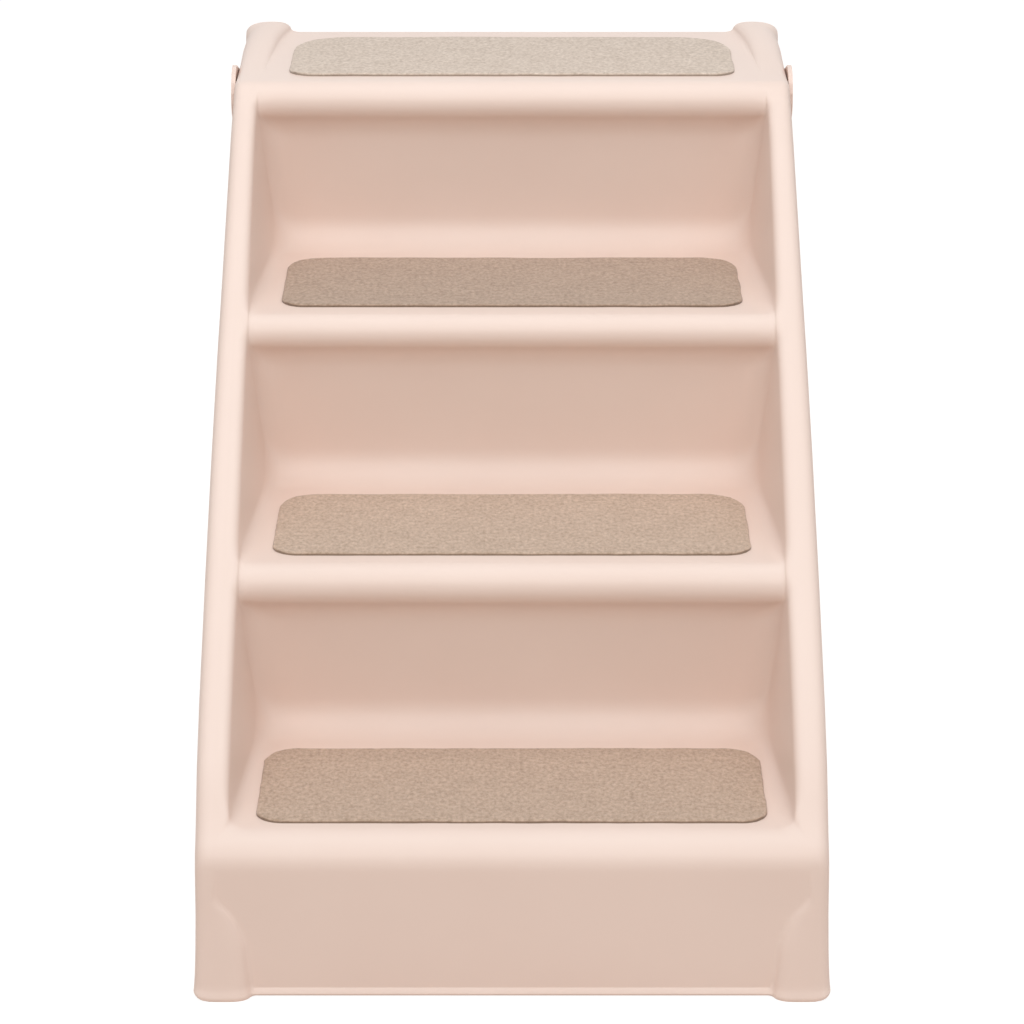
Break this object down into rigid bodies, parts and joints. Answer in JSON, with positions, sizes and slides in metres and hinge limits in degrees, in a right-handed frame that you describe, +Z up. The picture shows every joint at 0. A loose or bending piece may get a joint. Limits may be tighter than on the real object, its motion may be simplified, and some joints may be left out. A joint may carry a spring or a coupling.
{
  "type": "folding pet stairs",
  "caption": "Moulded folding pet stairs with four carpeted treads between raised side rails, on a rear support frame that swings up under the steps.",
  "frame": {"origin": "on the floor, in the middle of the footprint", "axes": "+Z up, +Y from the lowest step towards the top step, +X to the right seen from the front"},
  "size_m": [0.399, 0.62, 0.4949],
  "materials": {
    "shell_plastic": "satin",
    "frame_plastic": "satin",
    "tread_carpet": "looped",
    "pivot_steel": "satin",
    "screw_steel": "satin",
    "spacer_nylon": "matte",
    "lock_plastic": "matte",
    "foot_rubber": "matte"
  },
  "bodies": {
    "stairs": {"stair_shell": "shell_plastic", "tread_carpet_1": "tread_carpet", "tread_carpet_2": "tread_carpet", "tread_carpet_3": "tread_carpet", "tread_carpet_4": "tread_carpet", "pivot_bolts": "pivot_steel", "pivot_spacers": "spacer_nylon", "pivot_washers": "pivot_steel", "pivot_nuts": "pivot_steel", "left_front_foot_pad": "foot_rubber", "right_front_foot_pad": "foot_rubber"},
    "rear_frame": {"rear_frame": "frame_plastic", "left_lock_cover": "frame_plastic", "right_lock_cover": "frame_plastic", "lock_cover_screws": "screw_steel", "left_rear_foot_pad": "foot_rubber", "right_rear_foot_pad": "foot_rubber"},
    "left_lock": {"left_lock": "lock_plastic"},
    "right_lock": {"right_lock": "lock_plastic"}
  },
  "joints": [
    {"name": "frame_fold", "type": "hinge", "parent": "stairs", "child": "rear_frame", "pos_m": [0, 0.185, 0.468], "axis": [-1, 0, 0], "range_deg": [0, 49]},
    {"name": "left_lock_slide", "type": "slide", "parent": "rear_frame", "child": "left_lock", "axis": [-1, 0, 0], "range_m": [0, 0.008]},
    {"name": "right_lock_slide", "type": "slide", "parent": "rear_frame", "child": "right_lock", "axis": [1, 0, 0], "range_m": [0, 0.008]}
  ]
}
